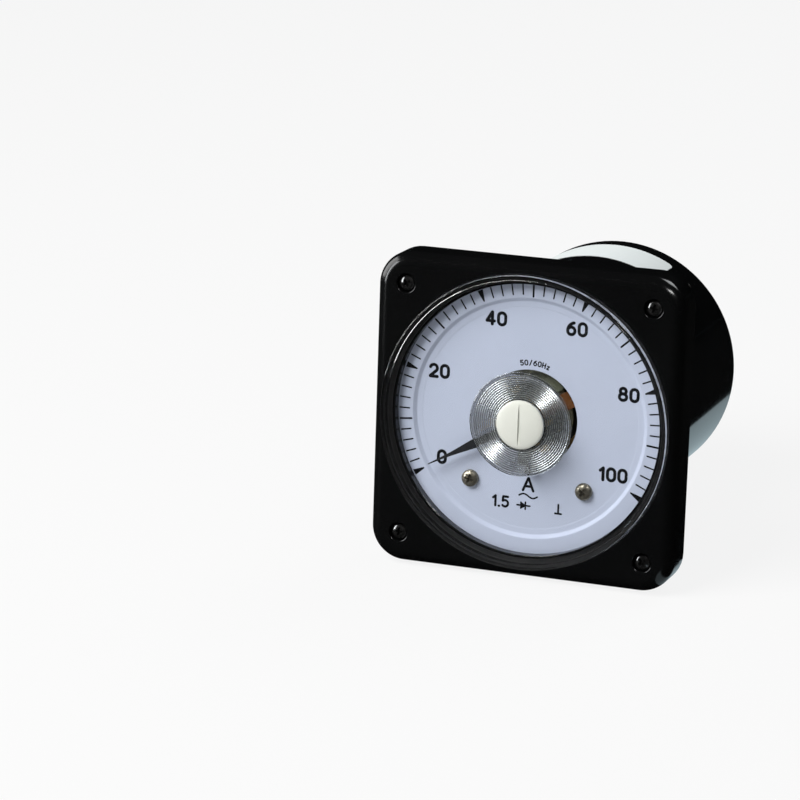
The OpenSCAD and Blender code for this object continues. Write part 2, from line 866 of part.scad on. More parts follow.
// Iron between the core's two ends, with a flat pad for the magnet
module pole_shoe() {
    pad = asin(magnet_w / 2 / core_r);
    color([0.50, 0.50, 0.46])
        plate(core_front_y, core_l)
            polygon(concat(
                arc(0, 0, core_r, 90 + shoe_half, 90 + pad),
                [[-magnet_w / 2, magnet_z], [magnet_w / 2, magnet_z]],
                arc(0, 0, core_r, 90 - pad, 90 - shoe_half),
                arc(0, 0, core_bore_r, 90 - shoe_half, 90 + shoe_half, 24)));
}

module magnet()
    color([0.28, 0.28, 0.30])
        block([-magnet_w / 2, core_front_y, magnet_z],
              [magnet_w / 2, core_back_y, magnet_top_z]);

module yoke()
    color([0.42, 0.43, 0.40])
        difference() {
            plate(core_front_y, yoke_back_y - core_front_y)
                difference() {
                    union() {
                        circle(r = yoke_r, $fn = fine);
                        translate([-yoke_w / 2, 0])
                            square([yoke_w, yoke_top_z]);
                        translate([-lug_w / 2, lug_low_z])
                            square([lug_w, -lug_low_z - pole_r - 1]);
                    }
                    circle(r = pole_r, $fn = fine);
                    translate([-yoke_pocket_w / 2, 0])
                        square([yoke_pocket_w, magnet_top_z]);
                }
            for (x = [-clamp_screw_x, clamp_screw_x])
                at(x, clamp_screw_z)
                    rod(m2_r, core_front_y - 1, core_front_y + 5);
            for (x = [-foot_screw_x, foot_screw_x])
                at(x, foot_screw_z)
                    rod(m2_r, core_front_y - 1, core_front_y + 5);
        }

// Olive plate over the pole shoe and the magnet; its edges stop the coil
module clamp_plate() {
    keep = coil_w / 2 + clear;
    color([0.46, 0.47, 0.33])
        difference() {
            plate(clamp_front_y, clamp_t)
                difference() {
                    intersection() {
                        union() {
                            circle(r = clamp_arc_r, $fn = fine);
                            translate([-yoke_w / 2, clamp_ear_z])
                                square([yoke_w, yoke_top_z - clamp_ear_z]);
                        }
                        translate([-2 * yoke_r, 0])
                            square([4 * yoke_r, 4 * yoke_r]);
                        rotate(90 - first_stop)
                            translate([-2 * yoke_r, keep])
                                square([4 * yoke_r, 4 * yoke_r]);
                        rotate(90 - last_stop)
                            translate([-2 * yoke_r, -4 * yoke_r - keep])
                                square([4 * yoke_r, 4 * yoke_r]);
                    }
                    circle(r = core_bore_r, $fn = fine);
                }
            for (x = [-clamp_screw_x, clamp_screw_x])
                at(x, clamp_screw_z)
                    rod(m2_r + 0.1, clamp_front_y - 1, core_front_y + 1);
        }
}

module clamp_screws()
    color([0.72, 0.72, 0.70])
        for (x = [-clamp_screw_x, clamp_screw_x])
            at(x, clamp_screw_z)
                pan_screw(m2_r, m2_head_r, m2_head_t, clamp_front_y, clamp_front_y + 5);

module chassis_plate()
    color([0.62, 0.63, 0.60])
        difference() {
            rod(chassis_r, chassis_y, chassis_back_y);
            rod(chassis_hole_r, chassis_y - 1, chassis_back_y + 1);
            for (a = rib_angles)
                clock(a)
                    at(0, rib_screw_at)
                        rod(m3_r + 0.2, chassis_y - 1, chassis_back_y + 1);
        }

module chassis_screws()
    color([0.72, 0.72, 0.70])
        for (a = rib_angles)
            clock(a)
                at(0, rib_screw_at)
                    pan_screw(m3_r, m3_head_r, m3_head_t, chassis_y, chassis_back_y + 8);

// ------------------------------------------------------------ zero adjuster

module zero_adjuster() {
    dome = 1.3;
    color([0.92, 0.92, 0.86])
        difference() {
            union() {
                lathe(concat([[0, ribbed_y - running], [cap_r - 0.25, ribbed_y - running],
                              [cap_r, ribbed_y - 0.3], [cap_r, ribbed_y - cap_h + dome]],
                             [for (i = [1:8]) let (a = i * 11.25)
                                 [cap_r * cos(a), ribbed_y - cap_h + dome - dome * sin(a)]]));
                rod(adjuster_r, ribbed_y - 1, adjuster_end_y);
            }
            block([-slot_w / 2, ribbed_y - cap_h - 1, -cap_r - 1],
                  [slot_w / 2, ribbed_y - cap_h + slot_depth, cap_r + 1]);
        }
}

// Disc pressed on the shaft behind the window, with the pin that moves the lever
module adjuster_crank()
    color([0.80, 0.80, 0.76])
        difference() {
            union() {
                rod(crank_r, crank_y, crank_y + crank_t);
                at(0, drive_pin_at)
                    rod(drive_pin_r, crank_y + crank_t - eps, lever_y + lever_t + 0.1);
            }
            rod(adjuster_r, crank_y - 1, crank_y + crank_t + 1);
        }

// Fork that the drive pin turns, with the tag that holds the front hairspring
module zero_lever()
    color([0.75, 0.65, 0.40])
        difference() {
            union() {
                plate(lever_y, lever_t)
                    union() {
                        circle(r = lever_ring_r);
                        translate([-2, 0])
                            square([4, drive_pin_at + drive_pin_r + 1.2]);
                        translate([0, -tag_w / 2])
                            square([tag_in_r + tag_t, tag_w]);
                    }
                block([tag_in_r, lever_y, -tag_w / 2],
                      [tag_in_r + tag_t, front_spring_y + spring_h, tag_w / 2]);
            }
            rod(lever_bore_r, lever_y - 1, lever_y + lever_t + 1);
            block([-fork_gap, lever_y - 1, drive_pin_at - drive_pin_r - 0.3],
                  [fork_gap, lever_y + lever_t + 1, drive_pin_at + 3]);
        }

// --------------------------------------------------- terminals and inner gear

module terminal_studs()
    color([0.80, 0.68, 0.38])
        for (x = [-terminal_pitch / 2, terminal_pitch / 2])
            at(x, 0)
                union() {
                    rod(terminal_r, case_in_y - 2, nuts_end_y);
                    lathe([[0, nuts_end_y - eps], [terminal_tip_r, nuts_end_y - eps],
                           [terminal_tip_r, case_end_y + terminal_l - 0.7],
                           [terminal_tip_r - 0.6, case_end_y + terminal_l],
                           [0, case_end_y + terminal_l]]);
                    hex_rod(nut_af, case_in_y - strap_t - 3, case_in_y - strap_t);
                }

module terminal_washers()
    color([0.78, 0.77, 0.72])
        for (x = [-terminal_pitch / 2, terminal_pitch / 2], k = [0, 1])
            at(x, 0)
                difference() {
                    y = terminal_face_y + k * (washer_t + nut_t);
                    rod(washer_r, y, y + washer_t);
                    rod(terminal_r, y - 1, y + washer_t + 1);
                }

module terminal_nuts()
    color([0.82, 0.70, 0.42])
        for (x = [-terminal_pitch / 2, terminal_pitch / 2], k = [0, 1])
            at(x, 0)
                difference() {
                    y = terminal_face_y + washer_t + k * (washer_t + nut_t);
                    hex_rod(nut_af, y, y + nut_t);
                    rod(terminal_r, y - 1, y + nut_t + 1);
                }

// Flat copper strips from the terminals to the transformer's primary
module terminal_straps()
    color([0.72, 0.42, 0.25])
        for (side = [-1, 1])
            difference() {
                union() {
                    block([min(side * 10, side * (terminal_pitch / 2 + 5)),
                           case_in_y - strap_t, -strap_w / 2],
                          [max(side * 10, side * (terminal_pitch / 2 + 5)),
                           case_in_y, strap_w / 2]);
                    block([side * 10 - strap_t / 2, iron_back_y + 3.6, -strap_w / 2],
                          [side * 10 + strap_t / 2, case_in_y, strap_w / 2]);
                }
                at(side * terminal_pitch / 2, 0)
                    rod(terminal_r, case_in_y - 3, case_in_y + 1);
            }

// Laminated core with two windows for the coil
module transformer_core()
    color([0.33, 0.33, 0.35])
        difference() {
            block([-iron_w / 2, iron_front_y, -iron_h / 2], [iron_w / 2, iron_back_y, iron_h / 2]);
            for (side = [-1, 1])
                at(side * limb * 1.5, 0)
                    block([-limb / 2, iron_front_y - 1, -iron_h / 2 + limb],
                          [limb / 2, iron_back_y + 1, iron_h / 2 - limb]);
            for (x = [-iron_screw_x, iron_screw_x], z = [-iron_screw_z, iron_screw_z])
                at(x, z)
                    rod(m3_r + 0.1, iron_front_y - 1, iron_back_y + 1);
        }

module transformer_coil()
    color([0.60, 0.30, 0.14])
        difference() {
            half_w = limb * 2 - bobbin_gap;
            half_h = iron_h / 2 - limb - bobbin_gap;
            block([-half_w, iron_front_y - winding_wall, -half_h],
                  [half_w, iron_back_y + winding_wall - 0.4, half_h]);
            block([-limb - bobbin_gap, iron_front_y - bobbin_gap, -half_h - 1],
                  [limb + bobbin_gap, iron_back_y + bobbin_gap, half_h + 1]);
        }

module transformer_screws()
    color([0.72, 0.72, 0.70])
        for (x = [-iron_screw_x, iron_screw_x], z = [-iron_screw_z, iron_screw_z])
            at(x, z)
                pan_screw(m3_r, m3_head_r, m3_head_t, iron_front_y, case_in_y - 1);

module rectifier_board()
    color([0.55, 0.42, 0.22])
        difference() {
            block([-board_w / 2, board_y, board_z - board_h / 2],
                  [board_w / 2, board_y + board_t, board_z + board_h / 2]);
            for (x = [-board_screw_x, board_screw_x])
                at(x, board_z)
                    rod(m3_r + 0.1, board_y - 1, board_y + board_t + 1);
        }

// Spacers riveted to the chassis plate, with their heads over the board
module board_spacers()
    color([0.80, 0.68, 0.38])
        for (x = [-board_screw_x, board_screw_x])
            at(x, board_z)
                union() {
                    rod(2.8, chassis_back_y, board_y);
                    rod(m3_r, board_y - eps, board_y + board_t + eps);
                    rod(2.4, board_y + board_t, board_y + board_t + 1);
                }

// Four diodes of a bridge rectifier, with their leads bent into the board
module rectifier_diodes()
    for (i = [0:3]) {
        x = (i - 1.5) * 7;
        y = board_y + board_t + diode_r + 0.3;
        color([0.10, 0.10, 0.10])
            translate([x, y, board_z - diode_l / 2])
                union() {
                    cylinder(r = diode_r, h = diode_l);
                    for (z = [-2.5, diode_l])
                        translate([0, 0, z - eps])
                            cylinder(r = 0.35, h = 2.5 + 2 * eps);
                    for (z = [-2.5, diode_l + 2.5])
                        translate([0, 0, z])
                            rotate([90, 0, 0])
                                cylinder(r = 0.35, h = diode_r + 0.3);
                }
    }

bezel_frame();
window();
window_gasket();
case_body();
case_label();
cover_screws();
mounting_studs();
dial_plate();
dial_scale();
dial_posts();
dial_screws();
pointer();
balance_weights();
pointer_staff();
coil_former();
moving_coil();
front_hairspring();
rear_hairspring();
rear_spring_anchor();
front_bridge();
rear_bridge();
bridge_posts();
bridge_screws();
front_jewel_screw();
rear_jewel_screw();
ring_core();
pole_shoe();
magnet();
yoke();
clamp_plate();
clamp_screws();
chassis_plate();
chassis_screws();
zero_adjuster();
adjuster_crank();
zero_lever();
terminal_studs();
terminal_washers();
terminal_nuts();
terminal_straps();
transformer_core();
transformer_coil();
transformer_screws();
rectifier_board();
board_spacers();
rectifier_diodes();
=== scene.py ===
# %% [markdown]
# # Dressing a square panel meter
# The solids of the meter come from its CAD model and already have the right size and place.
# This notebook gives them their finishes, and models again the few pieces whose curves
# or prints need more than a solid: the bezel, the window, the dial, its print and six screws.
# Everything is in metres, with the dial facing -Y and the case running back along +Y.

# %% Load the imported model
import json
import math
import bpy
from mathutils import Matrix, Vector


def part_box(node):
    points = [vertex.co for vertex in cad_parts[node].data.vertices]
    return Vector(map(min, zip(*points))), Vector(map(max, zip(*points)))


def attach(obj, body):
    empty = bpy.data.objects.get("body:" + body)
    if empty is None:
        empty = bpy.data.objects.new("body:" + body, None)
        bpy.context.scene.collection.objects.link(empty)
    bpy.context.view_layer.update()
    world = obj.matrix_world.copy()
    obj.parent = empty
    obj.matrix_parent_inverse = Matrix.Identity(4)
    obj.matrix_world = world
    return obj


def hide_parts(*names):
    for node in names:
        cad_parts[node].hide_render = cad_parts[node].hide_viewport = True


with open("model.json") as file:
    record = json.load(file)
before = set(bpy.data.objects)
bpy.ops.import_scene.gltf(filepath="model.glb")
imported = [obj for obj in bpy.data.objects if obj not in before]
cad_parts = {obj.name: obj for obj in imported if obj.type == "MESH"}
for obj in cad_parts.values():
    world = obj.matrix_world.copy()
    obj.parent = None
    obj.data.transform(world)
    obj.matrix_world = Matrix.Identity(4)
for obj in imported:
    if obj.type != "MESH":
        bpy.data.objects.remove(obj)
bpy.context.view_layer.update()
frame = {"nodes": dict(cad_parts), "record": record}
nodes = frame["nodes"]

# %% [markdown]
# ## Camera
# The meter is seen from a little to its right and above, through a long lens, so that the
# square flange hardly narrows towards the back. A camera can be aimed with a tracking
# constraint, but a matrix of three directions also holds the small roll of a hand-set camera.

# %% Camera
MM = 0.001
LENS = 164.76
DISTANCE, ASIDE, ABOVE = 1.26557, 0.04713, 0.0048
azimuth, elevation, roll = math.radians(19.87), math.radians(13.36), math.radians(1.82)
back = Vector((math.sin(azimuth) * math.cos(elevation),
               -math.cos(azimuth) * math.cos(elevation), math.sin(elevation)))
level = (-back).cross(Vector((0, 0, 1))).normalized()
upright = level.cross(-back)
right = math.cos(roll) * level + math.sin(roll) * upright
up = -math.sin(roll) * level + math.cos(roll) * upright
bpy.ops.object.select_all(action="DESELECT")
bpy.ops.object.camera_add()
camera = bpy.context.object
camera.name = "camera"
camera.data.lens = LENS
camera.data.clip_end = 60
camera.matrix_world = Matrix.Translation(
    back * DISTANCE - right * ASIDE + up * ABOVE) @ Matrix(
    (right, up, back)).transposed().to_4x4()
bpy.context.scene.camera = camera
print("camera at", [round(c, 3) for c in camera.location])

# %% [markdown]
# ## A small language for materials
# A procedural material is a formula: noise, rings or distance turned into colour, roughness
# and height. Wiring it node by node is slow to read, so one class wraps a socket and lets
# Python's operators add the Math nodes, and one method adds every other kind of node.

# %% Sockets that can be added and multiplied
class Value:
    """A socket of a material, on which arithmetic adds Math nodes."""

    def __init__(self, finish, socket):
        self.finish, self.socket = finish, socket

    def math(self, operation, *terms):
        return self.finish.node("ShaderNodeMath", {"operation": operation}, terms)

    def __add__(self, other):
        return self.math("ADD", self, other)

    __radd__ = __add__

    def __sub__(self, other):
        return self.math("SUBTRACT", self, other)

    def __rsub__(self, other):
        return self.math("SUBTRACT", other, self)

    def __mul__(self, other):
        return self.math("MULTIPLY", self, other)

    __rmul__ = __mul__

    def ramp(self, low, high):
        """0 below low, 1 above high and a straight line between."""
        return self.finish.node("ShaderNodeMapRange", {}, {
            "Value": self, "From Min": low, "From Max": high})


class Finish:
    """A material whose nodes all come from one method."""

    def __init__(self, name):
        self.material = bpy.data.materials.new(name)
        self.material.use_nodes = True
        self.tree = self.material.node_tree
        self.tree.nodes.clear()

    def node(self, kind, settings, inputs, output=0):
        made = self.tree.nodes.new(kind)
        for key, setting in settings.items():
            setattr(made, key, setting)
        pairs = inputs.items() if isinstance(inputs, dict) else enumerate(inputs)
        for key, value in pairs:
            if isinstance(value, Value):
                self.tree.links.new(value.socket, made.inputs[key])
            else:
                made.inputs[key].default_value = value
        return Value(self, made.outputs[output]) if made.outputs else made

    def place(self, scale=(1, 1, 1)):
        """Object coordinates, stretched by a Mapping node."""
        spot = self.node("ShaderNodeTexCoord", {}, {}, "Object")
        return self.node("ShaderNodeMapping", {"vector_type": "TEXTURE"}, {
            "Vector": spot, "Scale": scale})

    def noise(self, where, size, detail=3.0):
        """Cloudy noise from 0 to 1 whose patches are about size metres wide."""
        return self.node("ShaderNodeTexNoise", {}, {
            "Vector": where, "Scale": 1 / size, "Detail": detail, "Roughness": 0.5})

    def blend(self, share, first, second):
        """Colour that goes from first to second as share goes from 0 to 1."""
        return self.node("ShaderNodeMix", {"data_type": "RGBA"}, {
            0: share, 6: rgba(first), 7: rgba(second)}, 2)

    def bump(self, height, depth):
        return self.node("ShaderNodeBump", {}, {
            "Strength": 1.0, "Distance": depth, "Height": height})

    def surface(self, **inputs):
        """Ends the material in one Principled shader with the named sockets."""
        shader = self.node("ShaderNodeBsdfPrincipled", {}, {
            key.replace("_", " "): value for key, value in inputs.items()})
        self.output(shader)
        return self.material

    def output(self, shader):
        self.node("ShaderNodeOutputMaterial", {}, {"Surface": shader})


def rgba(colour):
    return colour if isinstance(colour, Value) else (*colour, 1)


print("material language ready")

# %% [markdown]
# ## Floor, room and lamps
# Glossy black plastic has next to no colour of its own: it is drawn by what it mirrors.
# The world is white to the camera, to mirrors and to glass, and a dim even light to all else.
# A closed room of dark cloth, with mats of it on the floor, hides that white from mirrors and
# glass. Nothing else sees the cloth, so the flange stays black and the background white.
# The floor is left bare under and behind the case, in a strip at the flange's lower right
# corner and in the last 0.1 m or so before the walls. Mirrors see those parts bluish grey.
# The meter lies on the lower edge of its flange and the end of its case, so the floor
# is tilted under it by the few degrees between those two.

# %% Floor
def plain_select(*things):
    """Selects only these objects, the last one active."""
    if bpy.context.object and bpy.context.object.mode != "OBJECT":
        bpy.ops.object.mode_set(mode="OBJECT")
    bpy.ops.object.select_all(action="DESELECT")
    for thing in things:
        thing.select_set(True)
        bpy.context.view_layer.objects.active = thing


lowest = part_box("case_body")[0]
STEP_DOWN, CASE_DEPTH = 0.0105, 0.097
tilt = math.atan2(STEP_DOWN, CASE_DEPTH)
floor_point = Vector((0, 0, lowest.z))
plain_select()
bpy.ops.mesh.primitive_grid_add(x_subdivisions=8, y_subdivisions=8, size=24,
                                location=floor_point, rotation=(tilt, 0, 0))
floor = bpy.context.object
floor.name = "floor"
bpy.ops.object.transform_apply(location=True, rotation=True, scale=True)

WHITE_SHARE, GLOSS_TINT = 0.87, (0.47, 0.60, 0.65)
paper = Finish("floor_paper")
ray = paper.node("ShaderNodeLightPath", {}, {}, "Is Camera Ray")
glossy_ray = paper.node("ShaderNodeLightPath", {}, {}, "Is Glossy Ray")
clear_ray = paper.node("ShaderNodeLightPath", {}, {}, "Is Transmission Ray")
lit = paper.node("ShaderNodeBsdfDiffuse", {}, {"Color": (0.5, 0.5, 0.5, 1)})
white = paper.node("ShaderNodeEmission", {}, {
    "Color": paper.blend(glossy_ray, (1, 1, 1), GLOSS_TINT), "Strength": 1.0})
seen = (ray + glossy_ray + clear_ray) * WHITE_SHARE
paper.output(paper.node("ShaderNodeMixShader", {}, {0: seen, 1: lit, 2: white}))
floor.data.materials.append(paper.material)
print("floor tilted by", round(math.degrees(tilt), 2), "degrees")

# %% World
world = bpy.data.worlds.new("room")
bpy.context.scene.world = world
world.use_nodes = True
tree = world.node_tree
tree.nodes.clear()
path = tree.nodes.new("ShaderNodeLightPath")
direct = tree.nodes.new("ShaderNodeMath")
direct.operation = "MAXIMUM"
tree.links.new(path.outputs["Is Camera Ray"], direct.inputs[0])
tree.links.new(path.outputs["Is Glossy Ray"], direct.inputs[1])
straight = tree.nodes.new("ShaderNodeMath")
straight.operation = "MAXIMUM"
tree.links.new(direct.outputs[0], straight.inputs[0])
tree.links.new(path.outputs["Is Transmission Ray"], straight.inputs[1])
ambient = tree.nodes.new("ShaderNodeBackground")
ambient.inputs["Color"].default_value = (0.86, 0.93, 1.0, 1)
ambient.inputs["Strength"].default_value = 0.11
backdrop = tree.nodes.new("ShaderNodeBackground")
backdrop.inputs["Color"].default_value = (1, 1, 1, 1)
backdrop.inputs["Strength"].default_value = 1.0
mixed = tree.nodes.new("ShaderNodeMixShader")
tree.links.new(straight.outputs[0], mixed.inputs[0])
tree.links.new(ambient.outputs[0], mixed.inputs[1])
tree.links.new(backdrop.outputs[0], mixed.inputs[2])
ended = tree.nodes.new("ShaderNodeOutputWorld")
tree.links.new(mixed.outputs[0], ended.inputs["Surface"])
print("world lights at", ambient.inputs["Strength"].default_value)

# %% Dark cloth, seen only by gloss and glass
cloth = Finish("dark_cloth")
nap = cloth.noise(cloth.place(), 0.8)
cloth.surface(Base_Color=cloth.blend(nap, (0.004, 0.004, 0.004), (0.008, 0.008, 0.008)),
              Roughness=1.0, Specular_IOR_Level=0.0)


def only_for_gloss(thing):
    for kind in ("camera", "diffuse", "volume_scatter", "shadow"):
        setattr(thing, "visible_" + kind, False)


plain_select()
bpy.ops.mesh.primitive_cube_add(size=1, scale=(7, 7, 4.2), location=(0, 0, 1.9))
room_cloth = bpy.context.object
room_cloth.name = "dark_room"
bpy.ops.object.transform_apply(location=True, rotation=True, scale=True)
room_cloth.data.materials.append(cloth.material)
only_for_gloss(room_cloth)
FAR, NEAR, SIDE = 3.4, -0.035, 0.057
BARE_FROM, BARE_TO = 0.020, 0.42
for name, low, high in (("dark_mat_front", (-FAR, -FAR), (FAR, NEAR)),
                        ("dark_mat_left", (-FAR, NEAR), (-SIDE, FAR)),
                        ("dark_mat_right", (SIDE, NEAR), (FAR, FAR)),
                        ("dark_mat_under", (-SIDE, NEAR), (0.051, BARE_FROM)),
                        ("dark_mat_back", (-SIDE, BARE_TO), (SIDE, FAR))):
    plain_select()
    bpy.ops.mesh.primitive_plane_add(size=1)
    mat = bpy.context.object
    mat.name = name
    mat.scale = (high[0] - low[0], high[1] - low[1], 1)
    mat.location = ((low[0] + high[0]) / 2, (low[1] + high[1]) / 2, 0.0015)
    bpy.ops.object.transform_apply(location=True, rotation=True, scale=True)
    mat.matrix_world = Matrix.Translation(floor_point) @ Matrix.Rotation(tilt, 4, "X")
    bpy.ops.object.transform_apply(location=True, rotation=True, scale=True)
    mat.data.materials.append(cloth.material)
    only_for_gloss(mat)
print("cloth hung")

# %% Lamps
def lamp(name, place, aim, size, watts, colour=(1, 1, 1)):
    """A flat rectangular lamp at place, facing aim."""
    bpy.ops.object.light_add(type="AREA", location=place)
    made = bpy.context.object
    made.name = name
    made.data.shape = "RECTANGLE"
    made.data.size, made.data.size_y = size
    made.data.energy = watts
    made.data.color = colour
    made.rotation_euler = (Vector(aim) - Vector(place)).to_track_quat("-Z", "Y").to_euler()
    return made


key = lamp("key", (-0.62, -0.78, 0.92), (0, 0, 0), (0.85, 0.85), 28, (1.0, 0.99, 0.97))
key.visible_glossy = False
side_strip = lamp("side_strip", (-1.1, -0.78, 0.3), (0, 0, 0), (0.25, 0.9), 7, (0.95, 0.98, 1.0))
spot = lamp("spot", (0.66, -0.70, 0.86), (0, 0, 0), (0.42, 0.2), 4.2)
lamp("back_fill", (0.5, 0.8, 1.2), (0, 0.05, 0), (0.7, 0.7), 7, (0.95, 0.98, 1.0))
panel = lamp("panel", (-1.3, -0.1, 0.5), (0, 0, 0), (1.0, 1.0), 12)
for glint in (side_strip, spot, panel):
    glint.visible_diffuse = False
print("five lamps lit")

# %% [markdown]
# ## Turned pieces
# The window, the dial and the cutters of the bezel are all round, so each is a section that is
# swept about the axis. One vertex is extruded along the section point by point,
# and Spin turns it; that gives even quads, which a boolean of cylinders would not.

# %% A turned solid from its section
def turned(name, section, steps=192):
    """Spins a closed or axis-to-axis section of (radius, y) points in millimetres."""
    plain_select()
    r0, y0 = section[0]
    bpy.ops.mesh.primitive_plane_add(size=0.001, location=(0, 0, 0))
    made = bpy.context.object
    made.name = name
    bpy.ops.object.mode_set(mode="EDIT")
    bpy.ops.mesh.select_mode(type="VERT")
    bpy.ops.mesh.select_all(action="SELECT")
    bpy.ops.mesh.merge(type="CENTER")
    bpy.ops.transform.translate(value=(r0 * MM, y0 * MM, 0))
    for (ra, ya), (rb, yb) in zip(section, section[1:]):
        bpy.ops.mesh.extrude_region_move(
            TRANSFORM_OT_translate={"value": ((rb - ra) * MM, (yb - ya) * MM, 0)})
    bpy.ops.mesh.select_all(action="SELECT")
    bpy.ops.mesh.spin(steps=steps, angle=math.tau, center=(0, 0, 0), axis=(0, 1, 0))
    bpy.ops.mesh.select_all(action="SELECT")
    bpy.ops.mesh.remove_doubles(threshold=0.000002)
    bpy.ops.mesh.normals_make_consistent(inside=False)
    bpy.ops.object.mode_set(mode="OBJECT")
    return made


def arc(cx, cy, rx, ry, start, end, steps):
    """Points on an ellipse from one angle to another, in degrees."""
    turns = [math.radians(start + (end - start) * i / steps) for i in range(steps + 1)]
    return [(cx + rx * math.cos(t), cy + ry * math.sin(t)) for t in turns]


def finished(thing, body, finish, sharp=30):
    """Smooths a piece, gives it its finish and lets it ride on its body."""
    plain_select(thing)
    bpy.ops.object.shade_smooth_by_angle(angle=math.radians(sharp))
    thing.data.materials.clear()
    thing.data.materials.append(finish)
    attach(thing, body)
    print(thing.name, len(thing.data.polygons), "faces")


# %% [markdown]
# ## Black moulding
# The flange and the case are pressed from black thermosetting plastic. It is glossy, but never
# a perfect mirror: the mould leaves a faint orange peel, and there is always some dust.

# %% Black moulding finish
def moulding(name, gloss=0.13, peel=0.00001):
    f = Finish(name)
    where = f.place()
    cloud = f.noise(where, 0.03)
    dust = f.node("ShaderNodeTexVoronoi", {}, {"Vector": where, "Scale": 420.0}, "Distance")
    speck = (0.03 - dust).ramp(0, 0.02) * f.noise(where, 0.012).ramp(0.56, 0.66)
    colour = f.blend(cloud, (0.0022, 0.0024, 0.0026), (0.0040, 0.0042, 0.0044))
    colour = f.blend(speck * 0.35, colour, (0.35, 0.36, 0.36))
    return f.surface(Base_Color=colour, Roughness=gloss + 0.06 * cloud + 0.3 * speck,
                     Specular_IOR_Level=0.5,
                     Normal=f.bump(f.noise(where, 0.004, 2), peel))


black_moulding = moulding("black_moulding")
case_moulding = moulding("case_moulding", 0.045, 0.000004)
print(black_moulding.name, case_moulding.name)

# %% [markdown]
# ## Bezel
# The bezel is a rounded square with a turned seat for the window and four screw recesses.
# The square comes from a cube whose edges are bevelled, first the four long corners and
# then the front rim. The seat and the recesses are turned cutters, applied as booleans.

# %% Rounded block
flange_low, flange_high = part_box("bezel_frame")
FACE = flange_low.y / MM
SEAM = flange_high.y / MM
HALF = flange_high.x / MM
CORNER_R, RIM_R = 12, 4.5
plain_select()
bpy.ops.mesh.primitive_cube_add(size=1)
bezel = bpy.context.object
bezel.name = "bezel"
bezel.scale = (2 * HALF * MM, (SEAM - FACE) * MM, 2 * HALF * MM)
bezel.location = (0, (SEAM + FACE) / 2 * MM, 0)
bpy.ops.object.transform_apply(location=True, rotation=True, scale=True)


def choose_edges(thing, test):
    """Selects, in edit mode, the edges whose two ends pass a test."""
    plain_select(thing)
    bpy.ops.object.mode_set(mode="EDIT")
    bpy.ops.mesh.select_mode(type="EDGE")
    bpy.ops.mesh.select_all(action="DESELECT")
    bpy.ops.object.mode_set(mode="OBJECT")
    points = thing.data.vertices
    for edge in thing.data.edges:
        a, b = (points[i].co for i in edge.vertices)
        edge.select = bool(test(a, b))
    bpy.ops.object.mode_set(mode="EDIT")


choose_edges(bezel, lambda a, b: abs(a.y - b.y) > 0.001)
bpy.ops.mesh.bevel(offset=CORNER_R * MM, segments=24)
choose_edges(bezel, lambda a, b: max(a.y, b.y) < FACE * MM + 1e-5)
bpy.ops.mesh.bevel(offset=RIM_R * MM, segments=12)
bpy.ops.object.mode_set(mode="OBJECT")
print("block has", len(bezel.data.polygons), "faces")

# %% Window seat and screw recesses
MOUTH_R, SEAT_R, BORE_R, REAR_R = 52.25, 51.65, 47.7, 49.8
SEAT_DEPTH, BORE_DEPTH = 3.6, 6.9
RECESS_MOUTH_R, RECESS_R, RECESS_DEPTH = 3.75, 3.25, 2.4
SCREW_AT = 44.25
seat = turned("seat_cutter", [(0, FACE - 1), (MOUTH_R, FACE - 1)]
              + arc(MOUTH_R, FACE + 0.35, 0.6, 0.35, -90, -180, 5)
              + [(SEAT_R, FACE + SEAT_DEPTH), (47.9, FACE + SEAT_DEPTH), (BORE_R, FACE + 3.8),
                 (BORE_R, FACE + BORE_DEPTH), (REAR_R, FACE + BORE_DEPTH), (REAR_R, SEAM + 1),
                 (0, SEAM + 1)], 256)
recesses = turned("recess_cutter", [(0, FACE - 1), (RECESS_MOUTH_R, FACE - 1)]
                  + arc(RECESS_MOUTH_R, FACE + 0.5, 0.5, 0.5, -90, -180, 5)
                  + [(RECESS_R, FACE + RECESS_DEPTH), (0, FACE + RECESS_DEPTH)], 48)
for x, z in ((SCREW_AT, SCREW_AT), (-SCREW_AT, SCREW_AT),
             (-SCREW_AT, -SCREW_AT), (SCREW_AT, -SCREW_AT)):
    plain_select(recesses)
    bpy.ops.object.duplicate()
    one = bpy.context.object
    one.location = (x * MM, 0, z * MM)
    bpy.ops.object.transform_apply(location=True, rotation=True, scale=True)
    plain_select(bezel)
    cut = bezel.modifiers.new("recess", "BOOLEAN")
    cut.operation, cut.object, cut.solver = "DIFFERENCE", one, "EXACT"
    bpy.ops.object.modifier_apply(modifier=cut.name)
    bpy.data.objects.remove(one)
plain_select(bezel)
cut = bezel.modifiers.new("seat", "BOOLEAN")
cut.operation, cut.object, cut.solver = "DIFFERENCE", seat, "EXACT"
bpy.ops.object.modifier_apply(modifier=cut.name)
bpy.data.objects.remove(seat)
bpy.data.objects.remove(recesses)
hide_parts("bezel_frame")
finished(bezel, "case", black_moulding, 30)
plain_select(bezel)
even = bezel.modifiers.new("even", "WEIGHTED_NORMAL")
even.keep_sharp = True
bpy.ops.object.modifier_apply(modifier=even.name)

# %% [markdown]
# ## Dial
# The dial is enamelled sheet, pressed so that the scale stands on a raised band around
# a flat middle. A pressed sheet has no sharp bends, so its section is drawn as
# straight runs and then rounded where it turns, before it is spun.

